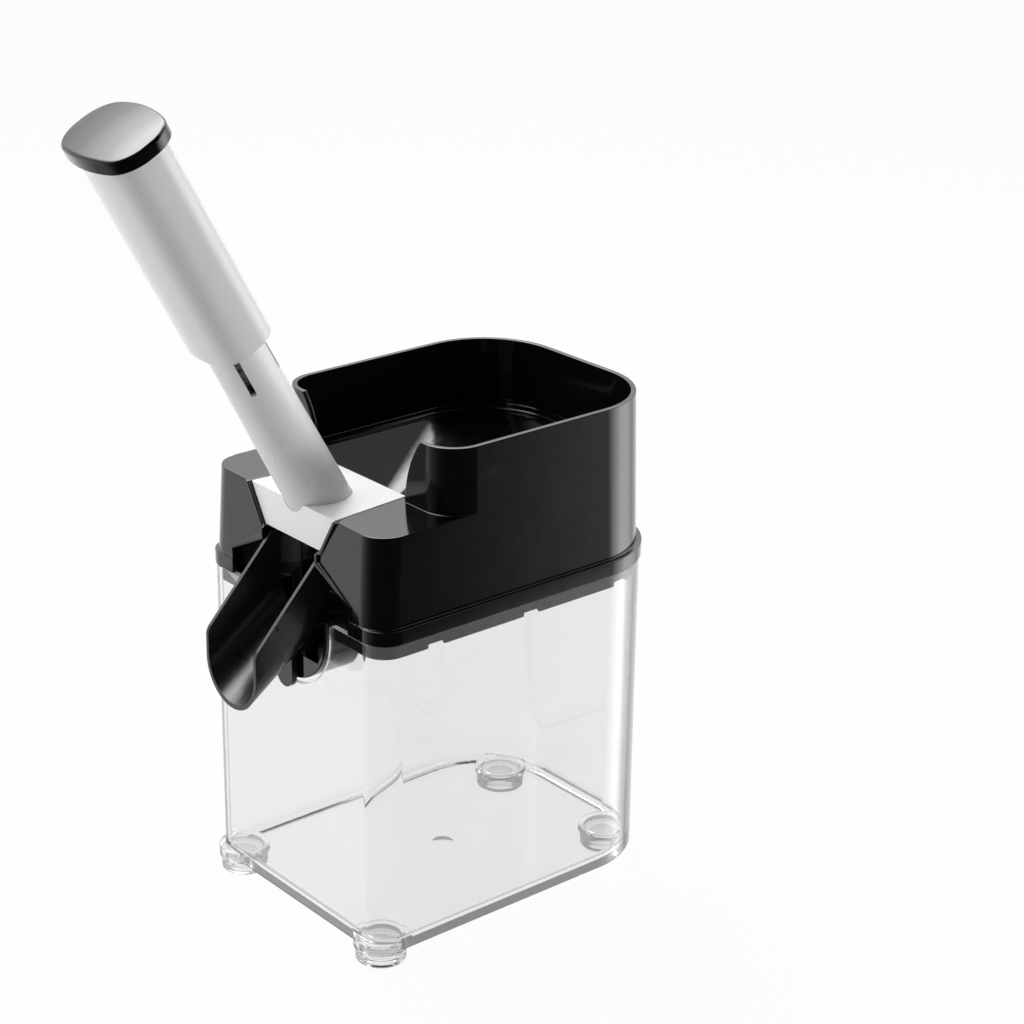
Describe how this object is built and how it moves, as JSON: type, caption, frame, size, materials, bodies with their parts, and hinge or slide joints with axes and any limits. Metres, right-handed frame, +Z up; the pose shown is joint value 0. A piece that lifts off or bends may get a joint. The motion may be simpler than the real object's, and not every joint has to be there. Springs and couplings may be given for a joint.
{
  "type": "cherry pitter",
  "caption": "Hand cherry pitter: sprung push handle on a leaning tube drives a pin through a cherry under a hopper, with a front chute and a clear stone container.",
  "frame": {"origin": "centre of the bounding box's bottom face, on the surface that the four feet stand on", "axes": "+Z up; -Y to the front, where the chute and the leaning handle are; +X to the right seen from the front"},
  "size_m": [0.105, 0.2141, 0.3099],
  "materials": {
    "clear_plastic": "clear moulded, polished",
    "clear_foot": "soft clear, slightly milky",
    "black_plastic": "high gloss",
    "seat_silicone": "soft matt",
    "white_plastic": "satin to gloss",
    "pale_plastic": "satin",
    "spring_steel": "bright drawn wire",
    "steel": "bright turned"
  },
  "bodies": {
    "container": {"container": "clear_plastic", "foot_front_left": "clear_foot", "foot_front_right": "clear_foot", "foot_rear_left": "clear_foot", "foot_rear_right": "clear_foot"},
    "housing": {"housing": "black_plastic", "cherry_seat": "seat_silicone", "seat_ring": "black_plastic", "stone_guide": "black_plastic"},
    "chute": {"chute": "black_plastic"},
    "head": {"pitting_head": "white_plastic", "guide_tube": "pale_plastic", "stop_ring": "pale_plastic", "stripper_bush": "pale_plastic", "lower_washer": "steel", "return_spring": "spring_steel"},
    "plunger": {"handle_sleeve": "pale_plastic", "handle_cap": "black_plastic", "plunger_core": "pale_plastic", "pitting_pin": "steel", "pin_dowel": "steel", "handle_screw": "steel", "upper_washer": "steel"}
  },
  "joints": [
    {"name": "housing_lift", "type": "slide", "parent": "container", "child": "housing", "axis": [0, 0, 1], "range_m": [0, 0.06]},
    {"name": "chute_pull", "type": "slide", "parent": "housing", "child": "chute", "axis": [0, -1, 0], "range_m": [0, 0.04]},
    {"name": "head_lift", "type": "slide", "parent": "housing", "child": "head", "axis": [0, 0, 1], "range_m": [0, 0.06]},
    {"name": "handle_press", "type": "slide", "parent": "head", "child": "plunger", "axis": [0, 0.4818, -0.8763], "range_m": [0, 0.042], "stiffness_N_per_m": 530, "springref_m": -0.028, "deforming": ["return_spring"]}
  ]
}
